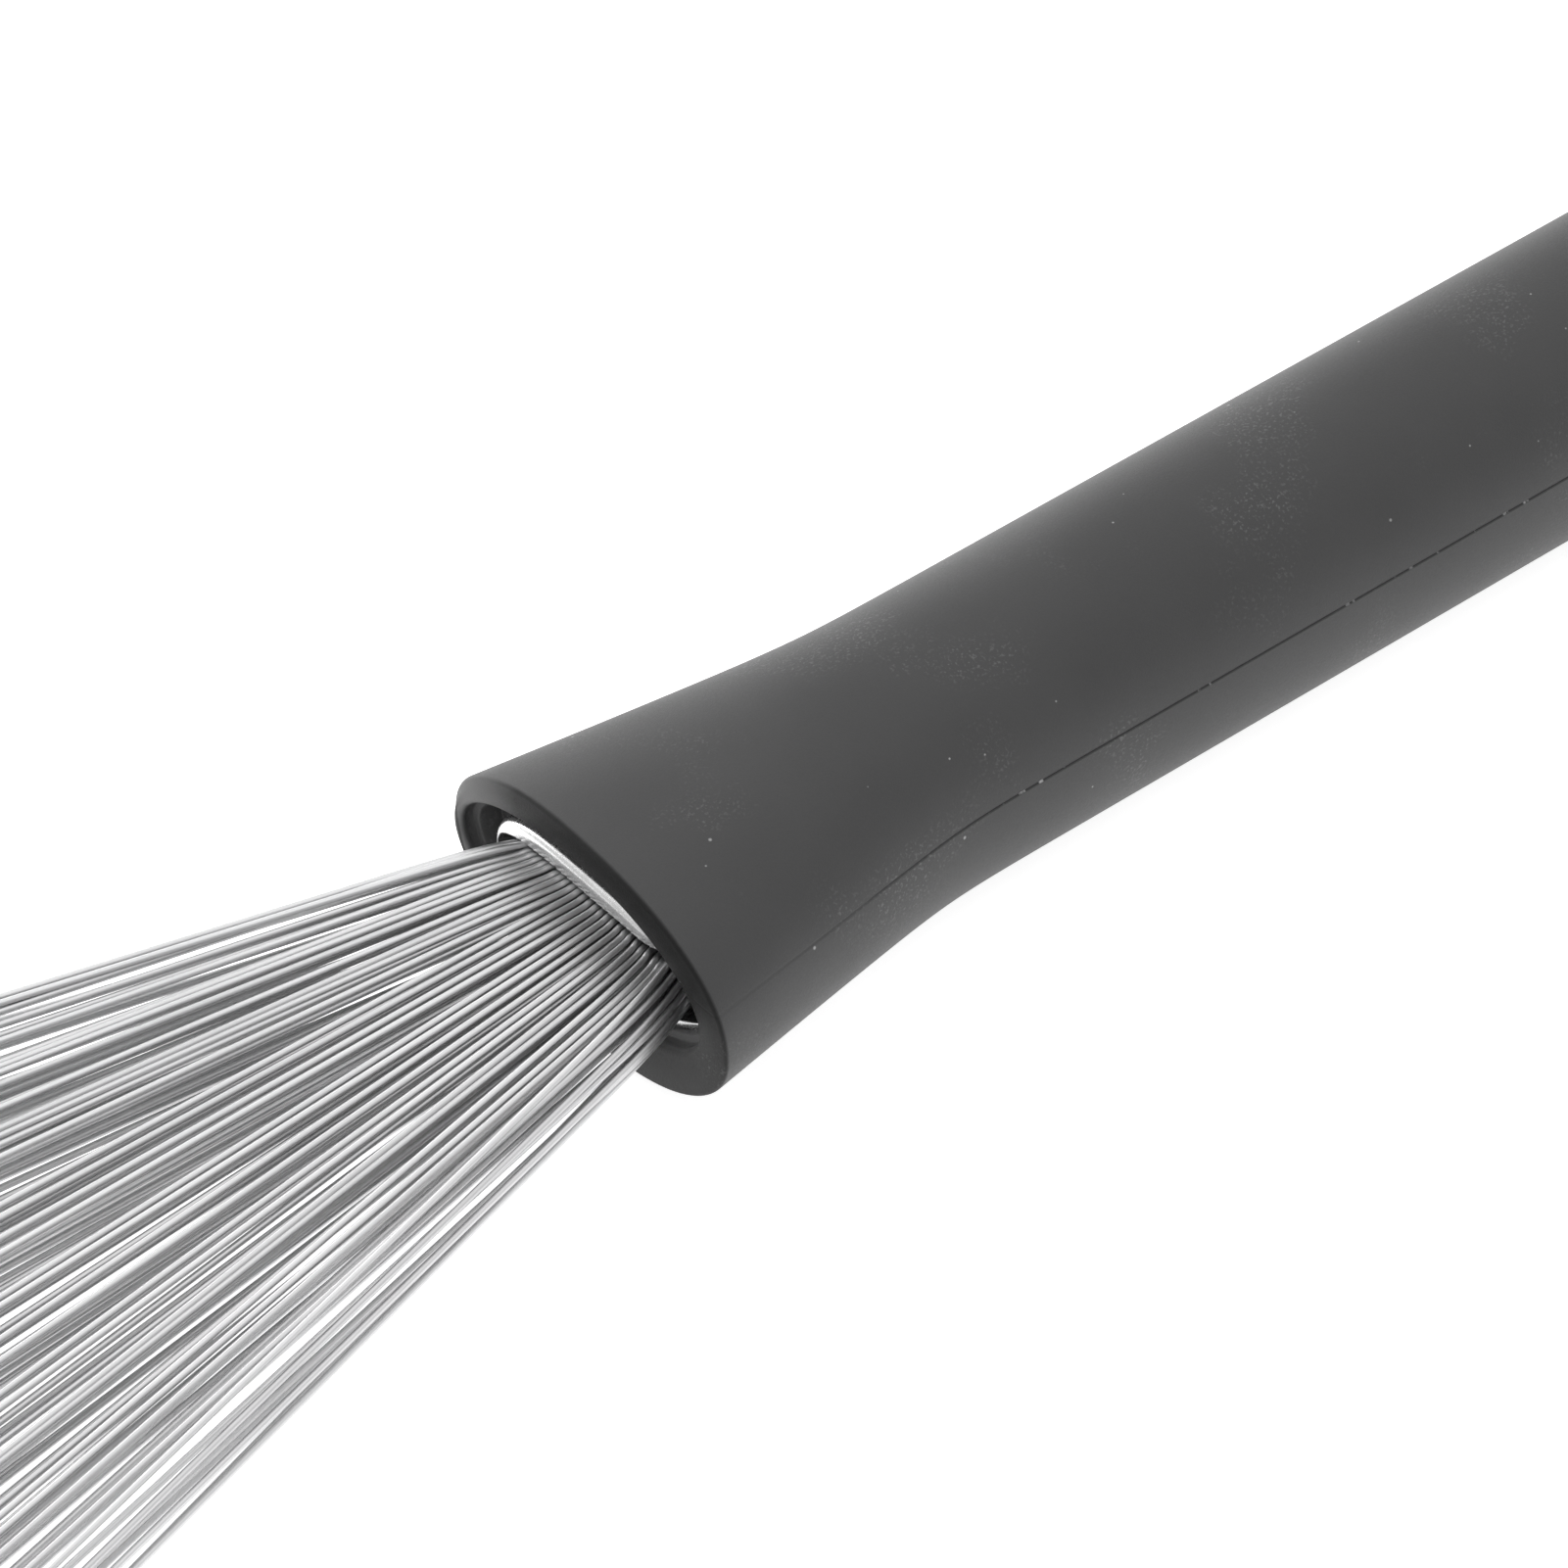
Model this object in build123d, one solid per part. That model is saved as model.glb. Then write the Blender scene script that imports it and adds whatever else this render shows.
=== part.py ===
"""Retractable wire brush for drums: a rubber-sleeved tube handle with a flattened, flared mouth, and a
sliding head inside it that carries a flat fan of spring wires and is worked by a pull rod.

Frame, in millimetres: +X runs along the handle axis towards the wires, +Y across the width of the fan,
+Z up, square to the fan. The origin is on the axis, halfway along the straight part of the grip.
The brush is drawn with the wires fully out.
"""
from build123d import *
from math import exp, log, radians, tan
import os

# ---------------------------------------------------------------- driving dimensions
# Handle
grip_radius = 7.0
grip_length = 160.0            # straight part of the sleeve
flare_zone = 20.0              # from the straight part to the mouth
flare_length = 16.95           # where the straight sides of the flare meet the grip's sides
flare_blend = 1.4              # how softly they meet
mouth_half_width = 10.2
mouth_shift = 0.2              # the mouth's middle lies this far towards +Y
mouth_heights = (5.94, 6.75)   # from the axis up to its upper edge and down to its lower edge
mouth_powers = (2.3, 1.9)      # upper and lower half: 2 is an ellipse, more is squarer
flare_sections_behind_mouth = (19.0, 18.0, 17.0, 16.0, 15.0, 13.5, 0.0)
lip_radius = 0.3
sleeve_end_radius = 0.5
recess_shift = -0.65           # the recess around the tube's end lies a little towards -Y
recess_steps = (               # depth, half width, half height
    (0.9, 8.9, 4.1),
    (2.2, 8.5, 3.7),
)

# Inner tube
tube_radius = 5.5
tube_wall = 0.6
tube_setback = 0.5             # the tube's end lies this far inside the sleeve's face
tube_flat_half_width = 7.4
tube_flat_half_height = 2.85
tube_flat_power = 3.5
tube_flat_run = 2.5            # the last stretch before the mouth, which no longer changes
tube_sections_behind_mouth = (18.0, 16.0, 14.0, 12.0, 10.0, 8.0, 6.0, 4.0, tube_flat_run)
oval_points = 16               # points a spline runs through on each oval section

# Wires
wire_diameter = 0.35
wire_levels = 9                # levels of wires, one above the other
wire_columns = 12              # wires in one level
wire_level_step = 5            # order in which neighbouring levels fill the gaps, prime to wire_levels
wire_layers = ("lower", "middle", "upper")
root_pitch = 0.5
root_depth = 2.5               # held inside the ferrule
wire_reach = 112.0             # beyond the mouth
fan_half_width = 6.42          # at the tube's end
fan_half_angle = 16.0
fan_half_thickness = 1.65      # at the tube's end
fan_tip_half_thickness = 2.5
fan_edge_share = 0.95          # how far the fan's outline follows the tube's oval
fan_edge_power = 3.0

# Sliding head
ferrule_setback = 18.0         # from the mouth
ferrule_length = 14.0
ferrule_bore_radius = 4.05
ferrule_wall = 0.6
ferrule_groove_depth = 0.25    # two rolled grooves that grip the disc and the piston's spigot
ferrule_groove_radius = 0.6
root_disc_thickness = 2.0
piston_length = 11.0
piston_clearance = 0.3
ring_section_radius = 0.9
ring_fit = 0.05                # radial clearance in the tube
ring_spacing = 5.0
groove_width = 2.0
rod_radius = 1.5
rod_fit = 0.05
rod_in_piston = 13.0
washer_thickness = 0.6
washer_radius = 3.0
nut_across_flats = 5.5
nut_thickness = 2.4
bumper_thickness = 3.0
bumper_radius = 3.5

# Rear end
bush_length = 10.0
seal_depth = 2.8
seal_radius = 3.0
seal_washer_thickness = 0.6
cap_spigot_length = 11.4
cap_flange_thickness = 3.0
cap_flange_radius = 6.7
cap_bore_radius = 2.0
cap_edge_radius = 0.8
knob_gap = 0.05
knob_bumper_thickness = 1.5
knob_bumper_radius = 3.6
knob_neck_radius = 4.0
knob_waist_radius = 3.2
knob_waist_offset = 3.5
knob_ball_radius = 6.0
knob_neck_slope = 0.6          # how steeply the neck narrows at the knob's front
knob_length = 15.0
insert_length = 8.0
insert_radius = 2.4
insert_setback = 1.0

# ---------------------------------------------------------------- places along X
mouth_x = grip_length / 2 + flare_zone
grip_front_x = grip_length / 2
rear_x = -grip_length / 2
tube_bore_radius = tube_radius - tube_wall
tube_front_x = mouth_x - tube_setback

ferrule_front_x = mouth_x - ferrule_setback
ferrule_rear_x = ferrule_front_x - ferrule_length
wire_root_x = ferrule_front_x - root_depth
disc_rear_x = wire_root_x - root_disc_thickness
piston_rear_x = ferrule_rear_x - piston_length
nut_front_x = piston_rear_x - washer_thickness
nut_rear_x = nut_front_x - nut_thickness
bumper_rear_x = nut_rear_x - bumper_thickness

cap_spigot_front_x = rear_x + cap_spigot_length
bush_rear_x = cap_spigot_front_x + seal_washer_thickness
bush_front_x = bush_rear_x + bush_length
cap_rear_x = rear_x - cap_flange_thickness
knob_bumper_front_x = cap_rear_x - knob_gap
knob_front_x = knob_bumper_front_x - knob_bumper_thickness
knob_rear_x = knob_front_x - knob_length
insert_front_x = knob_front_x - insert_setback
insert_rear_x = insert_front_x - insert_length


# ---------------------------------------------------------------- shapes
def rod_between(x_from, x_to, radius):
    """A solid cylinder on the handle axis."""
    return Plane.YZ.offset(x_from) * extrude(Circle(radius), amount=x_to - x_from)


def ring_between(x_from, x_to, outer, inner):
    """A solid sleeve on the handle axis."""
    return rod_between(x_from, x_to, outer) - rod_between(x_from, x_to, inner)


def oval(x, half_width, heights, powers, shift=0.0):
    """A closed oval across the axis at x: |y/w|^power + |z/h|^power = 1, with its own height h and power
    above and below, and its middle shifted along Y."""
    outline = []
    for index in range(oval_points):
        turn = Vector(1, 0).rotate(Axis.Z, 360 * index / oval_points)
        half = 0 if turn.Y > 0 else 1
        power = powers[half]
        reach = (abs(turn.X) ** power + abs(turn.Y) ** power) ** (-1 / power)
        outline.append((shift + half_width * reach * turn.X, heights[half] * reach * turn.Y))
    return Plane.YZ.offset(x) * make_face(Spline(outline, periodic=True))


def straight_oval(x_from, x_to, half_width, half_height, power, shift=0.0):
    section = oval(x_from, half_width, (half_height, half_height), (power, power), shift)
    return extrude(section, amount=x_to - x_from)


def softplus(value):
    return log(1 + exp(value))


def flare_share(behind_mouth):
    """0 on the straight grip, 1 at the mouth: straight sides with a soft start."""
    at_mouth = softplus(flare_length / flare_blend)
    return softplus((flare_length - behind_mouth) / flare_blend) / at_mouth


def sleeve_section(behind_mouth):
    share = flare_share(behind_mouth)
    return oval(
        mouth_x - behind_mouth,
        grip_radius + (mouth_half_width - grip_radius) * share,
        [grip_radius + (height - grip_radius) * share for height in mouth_heights],
        [2 + (power - 2) * share for power in mouth_powers],
        mouth_shift * share,
    )


def flat_share(behind_mouth):
    """0 where the tube is round, 1 where it is fully flattened."""
    run = (flare_zone - behind_mouth) / (flare_zone - tube_flat_run)
    run = min(max(run, 0), 1)
    return run * run * (3 - 2 * run)


def tube_section(behind_mouth, inset):
    share = flat_share(behind_mouth)
    radius = tube_radius - inset
    half_height = radius + (tube_flat_half_height - inset - radius) * share
    power = 2 + (tube_flat_power - 2) * share
    return oval(
        mouth_x - behind_mouth,
        radius + (tube_flat_half_width - inset - radius) * share,
        (half_height, half_height),
        (power, power),
    )


def tube_body(inset):
    """The tube filled solid, drawn in by inset: round, then flattened to the mouth."""
    round_face = Plane.YZ.offset(grip_front_x) * Circle(tube_radius - inset)
    sections = [round_face] + [tube_section(step, inset) for step in tube_sections_behind_mouth]
    flat = straight_oval(
        mouth_x - tube_flat_run,
        tube_front_x,
        tube_flat_half_width - inset,
        tube_flat_half_height - inset,
        tube_flat_power,
    )
    return rod_between(rear_x, grip_front_x, tube_radius - inset) + loft(sections, ruled=True) + flat


# ---------------------------------------------------------------- handle
def make_rubber_handle():
    round_face = Plane.YZ.offset(grip_front_x) * Circle(grip_radius)
    sections = [round_face] + [sleeve_section(step) for step in flare_sections_behind_mouth]
    flare = loft(sections, ruled=True)
    lip = flare.faces().sort_by(Axis.X)[-1].edges()
    flare = fillet(lip, lip_radius)
    grip = rod_between(rear_x, grip_front_x, grip_radius)
    rear_edge = grip.faces().sort_by(Axis.X)[0].edges()
    body = fillet(rear_edge, sleeve_end_radius) + flare
    body -= tube_body(0)
    for depth, half_width, half_height in recess_steps:
        body -= straight_oval(mouth_x - depth, mouth_x, half_width, half_height, 2, recess_shift)
    return body


def make_inner_tube():
    return tube_body(0) - tube_body(tube_wall)


def make_rear_bush():
    bush = ring_between(bush_rear_x, bush_front_x, tube_bore_radius, rod_radius + rod_fit)
    return bush - rod_between(bush_rear_x, bush_rear_x + seal_depth, seal_radius)


def make_rod_seal():
    return ring_between(bush_rear_x, bush_rear_x + seal_depth, seal_radius, rod_radius + rod_fit)


def make_seal_washer():
    return ring_between(cap_spigot_front_x, bush_rear_x, tube_bore_radius, cap_bore_radius)


def make_end_cap():
    flange = rod_between(cap_rear_x, rear_x, cap_flange_radius)
    flange = fillet(flange.faces().sort_by(Axis.X)[0].edges(), cap_edge_radius)
    cap = flange + rod_between(rear_x, cap_spigot_front_x, tube_bore_radius)
    return cap - rod_between(cap_rear_x, cap_spigot_front_x, cap_bore_radius)


# ---------------------------------------------------------------- sliding head
def wire_points(column, level):
    """A wire's path: root, mouth and tip. Neighbouring levels are staggered in width."""
    last = wire_levels * wire_columns - 1
    place = column * wire_levels + (wire_level_step * level) % wire_levels
    side = 2 * place / last - 1
    height = 2 * level / (wire_levels - 1) - 1
    root_y = (column - (wire_columns - 1) / 2) * root_pitch
    root_z = height * root_pitch * (wire_levels - 1) / 2
    oval_share = (1 - (abs(side) * fan_edge_share) ** fan_edge_power) ** (1 / fan_edge_power)
    tip_half_width = fan_half_width + (wire_reach + tube_setback) * tan(radians(fan_half_angle))
    return [
        (wire_root_x, root_y, root_z),
        (tube_front_x, side * fan_half_width, height * fan_half_thickness * oval_share),
        (mouth_x + wire_reach, side * tip_half_width, height * fan_tip_half_thickness),
    ]


def make_wire(column, level):
    path = Polyline(*wire_points(column, level))
    section = Plane(origin=path @ 0, z_dir=path % 0) * Circle(wire_diameter / 2)
    return sweep(section, path=path, transition=Transition.RIGHT)


def make_wires(columns, levels):
    return Compound(children=[make_wire(c, k).solid() for c in columns for k in levels])


def make_wire_layer(layer):
    """The wires of neighbouring levels, without the fan's two edges."""
    per_layer = wire_levels // len(wire_layers)
    levels = range(layer * per_layer, (layer + 1) * per_layer)
    return make_wires(range(1, wire_columns - 1), levels)


def make_wire_edge(column):
    """The outermost wires on one side of the fan, on which the brush leans when it lies on a table."""
    return make_wires([column], range(wire_levels))


def make_wire_ferrule():
    outer = ferrule_bore_radius + ferrule_wall
    ferrule = ring_between(ferrule_rear_x, ferrule_front_x, outer, ferrule_bore_radius)
    groove = Torus(outer + ferrule_groove_radius - ferrule_groove_depth, ferrule_groove_radius)
    for x in ((disc_rear_x + wire_root_x) / 2, (ferrule_rear_x + disc_rear_x) / 2):
        ferrule -= Pos(x, 0, 0) * Rot(0, 90, 0) * groove
    return ferrule


def make_root_disc():
    return rod_between(disc_rear_x, wire_root_x, ferrule_bore_radius)


def ring_places():
    middle = piston_rear_x + piston_length / 2
    return middle + ring_spacing / 2, middle - ring_spacing / 2


def ring_centre_radius():
    return tube_bore_radius - ring_fit - ring_section_radius


def make_piston():
    body = rod_between(piston_rear_x, ferrule_rear_x, tube_bore_radius - piston_clearance)
    body += rod_between(ferrule_rear_x, disc_rear_x, ferrule_bore_radius)
    groove_floor = ring_centre_radius() - ring_section_radius
    for x in ring_places():
        body -= ring_between(x - groove_width / 2, x + groove_width / 2, tube_radius, groove_floor)
    return body - rod_between(piston_rear_x, piston_rear_x + rod_in_piston, rod_radius)


def make_piston_ring(x):
    return Pos(x, 0, 0) * Rot(0, 90, 0) * Torus(ring_centre_radius(), ring_section_radius)


def make_lock_washer():
    return ring_between(nut_front_x, piston_rear_x, washer_radius, rod_radius)


def make_lock_nut():
    hexagon = RegularPolygon(nut_across_flats / 2, 6, major_radius=False)
    nut = Plane.YZ.offset(nut_rear_x) * extrude(hexagon, amount=nut_thickness)
    return nut - rod_between(nut_rear_x, nut_front_x, rod_radius)


def make_retract_bumper():
    return ring_between(bumper_rear_x, nut_rear_x, bumper_radius, rod_radius)


def make_pull_rod():
    return rod_between(insert_rear_x, piston_rear_x + rod_in_piston, rod_radius)


def make_knob_bumper():
    return ring_between(knob_front_x, knob_bumper_front_x, knob_bumper_radius, rod_radius)


def make_knob_insert():
    return ring_between(insert_rear_x, insert_front_x, insert_radius, rod_radius)


def make_pull_knob():
    """A turned knob: a neck, a waist for the fingertips and a ball end."""
    ball_x = knob_rear_x + knob_ball_radius
    waist_x = knob_front_x - knob_waist_offset
    side = Spline(
        (knob_front_x, knob_neck_radius),
        (waist_x, knob_waist_radius),
        (ball_x, knob_ball_radius),
        tangents=[(-1, -knob_neck_slope), (-1, 0)],
    )
    end = RadiusArc((ball_x, knob_ball_radius), (knob_rear_x, 0), -knob_ball_radius)
    axis = Polyline((knob_rear_x, 0), (knob_front_x, 0), (knob_front_x, knob_neck_radius))
    knob = revolve(make_face(Wire([side, end, *axis.edges()])), Axis.X)
    knob -= rod_between(insert_rear_x, insert_front_x, insert_radius)
    return knob - rod_between(insert_front_x, knob_front_x, rod_radius)


# ---------------------------------------------------------------- write the parts
os.makedirs("parts", exist_ok=True)
front_ring_x, rear_ring_x = ring_places()
parts = {
    "rubber_handle": make_rubber_handle(),
    "inner_tube": make_inner_tube(),
    "rear_bush": make_rear_bush(),
    "rod_seal": make_rod_seal(),
    "seal_washer": make_seal_washer(),
    "end_cap": make_end_cap(),
    "wire_ferrule": make_wire_ferrule(),
    "root_disc": make_root_disc(),
    "piston": make_piston(),
    "piston_ring_front": make_piston_ring(front_ring_x),
    "piston_ring_rear": make_piston_ring(rear_ring_x),
    "lock_washer": make_lock_washer(),
    "lock_nut": make_lock_nut(),
    "retract_bumper": make_retract_bumper(),
    "pull_rod": make_pull_rod(),
    "knob_bumper": make_knob_bumper(),
    "knob_insert": make_knob_insert(),
    "pull_knob": make_pull_knob(),
    "wires_left_edge": make_wire_edge(wire_columns - 1),
    "wires_right_edge": make_wire_edge(0),
}
for number, layer_name in enumerate(wire_layers):
    parts["wires_" + layer_name] = make_wire_layer(number)
for node, shape in parts.items():
    export_step(shape, f"parts/{node}.step")

print("travel", bumper_rear_x - bush_front_x)
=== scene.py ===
"""The looks of a retractable wire drum brush: a rubber sleeve, a flattened metal tube and a fan of spring
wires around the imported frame, on a white table under soft light.

The frame is the record's: +X runs along the handle axis towards the wires, +Y across the fan, +Z up. Named
sizes are in millimetres and become metres through MM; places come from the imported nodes.
"""

import random
from math import cos, exp, log, pi, radians, sin, tan

import bpy
from mathutils import Matrix, Vector


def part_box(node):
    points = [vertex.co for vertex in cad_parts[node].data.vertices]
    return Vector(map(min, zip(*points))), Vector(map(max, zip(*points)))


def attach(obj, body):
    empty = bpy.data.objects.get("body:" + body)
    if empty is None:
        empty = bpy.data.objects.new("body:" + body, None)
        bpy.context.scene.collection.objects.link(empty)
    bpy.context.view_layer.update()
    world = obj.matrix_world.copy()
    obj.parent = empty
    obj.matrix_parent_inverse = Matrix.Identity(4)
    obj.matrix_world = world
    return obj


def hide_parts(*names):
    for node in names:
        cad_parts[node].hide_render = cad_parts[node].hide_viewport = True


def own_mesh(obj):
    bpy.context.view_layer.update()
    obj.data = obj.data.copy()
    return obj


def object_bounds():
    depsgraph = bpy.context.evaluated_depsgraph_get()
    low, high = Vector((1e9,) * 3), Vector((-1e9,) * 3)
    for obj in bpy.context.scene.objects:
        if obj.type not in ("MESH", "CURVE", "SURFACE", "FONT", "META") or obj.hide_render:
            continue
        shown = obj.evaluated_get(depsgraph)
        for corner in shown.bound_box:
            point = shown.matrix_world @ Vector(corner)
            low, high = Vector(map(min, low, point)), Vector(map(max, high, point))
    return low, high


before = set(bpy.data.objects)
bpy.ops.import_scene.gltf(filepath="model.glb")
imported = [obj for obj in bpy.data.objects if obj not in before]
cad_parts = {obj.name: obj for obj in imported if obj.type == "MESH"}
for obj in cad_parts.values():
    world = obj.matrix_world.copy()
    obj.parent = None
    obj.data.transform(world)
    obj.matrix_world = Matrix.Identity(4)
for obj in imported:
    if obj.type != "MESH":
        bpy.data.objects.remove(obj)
cad_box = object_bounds()

MM = 0.001
DRAWN_PLACE = "drawn_place"

# ---------------------------------------------------------------- sizes, in millimetres
# Sleeve
flare_zone = 20.0
flare_length = 16.95
flare_blend = 1.4
mouth_half_width = 10.2
mouth_shift = 0.2              # the mouth's middle lies this far towards +Y
mouth_heights = (5.94, 6.75)   # from the axis up to its upper edge and down to its lower edge
mouth_powers = (2.3, 1.9)      # upper and lower half
lip_radius = 0.22
lip_crown = 0.06               # how far the lip's face bulges between its edges
opening_edge_radius = 0.35
recess_shift = -0.65
recess_steps = ((0.9, 8.9, 4.1), (2.2, 8.5, 3.7))   # depth, half width, half height
recess_corner = 0.08
rear_edge_radius = 0.5
parting_angle = 15.14          # degrees, from +Y towards +Z, and its opposite
parting_groove = (0.085, 0.075)   # half width, depth
parting_lip_share = 0.25       # what is left of the groove's depth at the mouth
sleeve_points = 384

# Tube
tube_wall = 0.6
tube_flat_half_width = 7.4
tube_flat_half_height = 2.85
tube_flat_power = 3.5
tube_flat_run = 2.5
tube_rim_outer_radius = 0.5    # rolled over towards the opening
tube_rim_inner_radius = 0.1
tube_rim_bead = 0.32           # how much thicker the rim is on its upper side, fading towards +Y
tube_rim_thinning = 0.38       # how much thinner it is at both sides
tube_bead_run = 1.4
tube_end_slant = 0.9           # how much deeper the end lies at its +Y side
tube_tilt = 0.045              # rise of the flattened end towards +Y, per length
tube_points = 256

# Rear end
rod_radius = 1.5

# Wires
wire_radius = 0.175
wire_sides = 8
wire_columns = 15
wire_levels = 9
levels_in_layer = 3
root_pitch = 0.42
mouth_half_spread = 6.5        # centre of the outermost wires at the tube's end
fan_half_width = 6.83          # the same, on the straight sides of the fan drawn back to the tube's end
fan_half_angle = 15.79         # degrees
spread_run = 1.6               # how soon the wires reach the straight sides
mouth_rise = 0.2               # how far the flattened tube lifts the upper wires just before its end
mouth_dip = 0.12               # how far they settle again beyond it
mouth_rise_run = 1.9
mouth_dip_run = 0.25
tip_cut = 2.2                  # how far short of the longest wire the others end
wire_bow = 0.9                 # sideways bow of a wire on its way to the tip
wire_wave = 0.16
wire_wave_length = 62.0
partings = (                   # where the fan opens: share of its half width, half opening, reach
    (-0.206, 0.07, 0.13),
    (0.095, 0.045, 0.11),
    (0.347, 0.02, 0.08),
)
wire_rows = {                  # wires in a row, height at the tube's end, lowest and highest tip
    "wires_upper": ((24, 1.66, 0.9, 1.5), (15, 1.22, 0.3, 1.4)),
    "wires_middle": ((20, 0.6, -0.2, 1.2), (19, -0.1, -0.8, 0.6)),
    "wires_lower": ((15, -0.9, -1.3, -0.1), (24, -1.62, -1.75, -0.6)),
}
row_half_share = 0.8           # of the fan's half width, up to the wires that line the tube's side
row_spread = 1.05              # how much further out in the fan the rows reach than at the mouth
row_scatter = 0.004            # spread of a wire's place in its row, in shares of the half width
row_sag = (-0.06, 0.02)        # how far a wire lies below or above its row
parting_scatter = 0.014        # spread of the place that the partings act on, in the same shares
tip_scatter = 0.012            # spread of the tips, in the same shares
lifted_row_height = 1.5        # rows above this are lifted by mouth_rise
edge_turn = 75                 # degrees that the edge wires go round the tube's side, up and down
edge_radius = 1.6              # of the arc they lie on
edge_tip_height = 0.85         # of their height at the tube's end, at their tips
edge_tip_scatter = 0.1
edge_bow = 0.4                 # how far they bow outwards
edge_tip_spread = 0.17         # of the fan's half width, over which their tips are spread
edge_step = 5                  # places in that spread from one level to the next, prime to wire_levels

# ---------------------------------------------------------------- places, from the frame
sleeve_low, sleeve_high = (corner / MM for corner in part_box("rubber_handle"))
tube_low, tube_high = (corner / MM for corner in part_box("inner_tube"))
ferrule_front_x = (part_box("wire_ferrule")[1] / MM).x
wires_low, wires_high = (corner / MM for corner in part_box("wires_middle"))
mouth_x = sleeve_high.x
rear_x = sleeve_low.x
grip_radius = -sleeve_low.z
grip_front_x = mouth_x - flare_zone
tube_front_x = tube_high.x
tube_radius = tube_high.z
wire_root_x = wires_low.x
wire_tip_x = wires_high.x
floor_z = cad_box[0].z


# ---------------------------------------------------------------- mesh helpers
def finish_mesh(name, mesh, body, stands_for, material, sharp_angle=35):
    """Turns a mesh in millimetres into a piece that rides on a body and stands for CAD nodes."""
    mesh.transform(Matrix.Scale(MM, 4))
    mesh.shade_smooth()
    mesh.set_sharp_from_angle(angle=radians(sharp_angle))
    piece = bpy.data.objects.new(name, mesh)
    bpy.context.scene.collection.objects.link(piece)
    piece.data.materials.append(material)
    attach(piece, body)
    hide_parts(*stands_for)
    return piece


def skin(rings, closed, offset=0):
    """Quads through rings of equal numbers of points, drawn towards +X on an outer surface."""
    count = len(rings[0])
    faces = []
    for index in range(len(rings) if closed else len(rings) - 1):
        here = offset + index * count
        there = offset + (index + 1) % len(rings) * count
        for place in range(count):
            beside = (place + 1) % count
            faces.append((here + place, here + beside, there + beside, there + place))
    return faces


def mesh_from(name, points, faces):
    mesh = bpy.data.meshes.new(name)
    mesh.from_pydata(points, [], faces)
    mesh.validate()
    mesh.update()
    return mesh


def oval_ring(x, half_width, heights, powers, shift, angles):
    """Points at given angles on |y/w|^power + |z/h|^power = 1, with its own height h and power above and
    below, and its middle shifted along Y."""
    ring = []
    for angle in angles:
        c, s = cos(angle), sin(angle)
        half = 0 if s > 0 else 1
        power = powers[half]
        reach = (abs(c / half_width) ** power + abs(s / heights[half]) ** power) ** (-1 / power)
        ring.append(Vector((x, shift + reach * c, reach * s)))
    return ring


def even_angles(count):
    return [2 * pi * index / count for index in range(count)]


def circle_ring(x, radius, count):
    return oval_ring(x, radius, (radius, radius), (2, 2), 0, even_angles(count))


def lathe(name, profile, segments=96):
    """A closed turned body: profile is a closed loop of (x, radius), drawn towards +X on its outside."""
    rings = [circle_ring(x, radius, segments) for x, radius in profile]
    return mesh_from(name, [point for ring in rings for point in ring], skin(rings, closed=True))


def corner_arc(corner, before, after, radius, steps=5):
    """Points that round the corner of a profile between two neighbouring points."""
    corner, before, after = Vector(corner), Vector(before), Vector(after)
    to_before = (before - corner).normalized()
    to_after = (after - corner).normalized()
    half = to_before.angle(to_after) / 2
    centre = corner + (to_before + to_after).normalized() * (radius / sin(half))
    start = corner + to_before * (radius / tan(half)) - centre
    end = corner + to_after * (radius / tan(half)) - centre
    spokes = [start.slerp(end, step / steps).normalized() for step in range(steps + 1)]
    return [tuple(centre + spoke * radius) for spoke in spokes]


def rounded(profile, radii):
    """The closed profile with each corner rounded by its radius, 0 for a sharp one."""
    made = []
    for index, (corner, radius) in enumerate(zip(profile, radii)):
        if radius:
            before, after = profile[index - 1], profile[(index + 1) % len(profile)]
            made += corner_arc(corner, before, after, radius)
        else:
            made.append(corner)
    return made


def smooth(value):
    value = min(max(value, 0.0), 1.0)
    return value * value * (3 - 2 * value)


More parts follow.
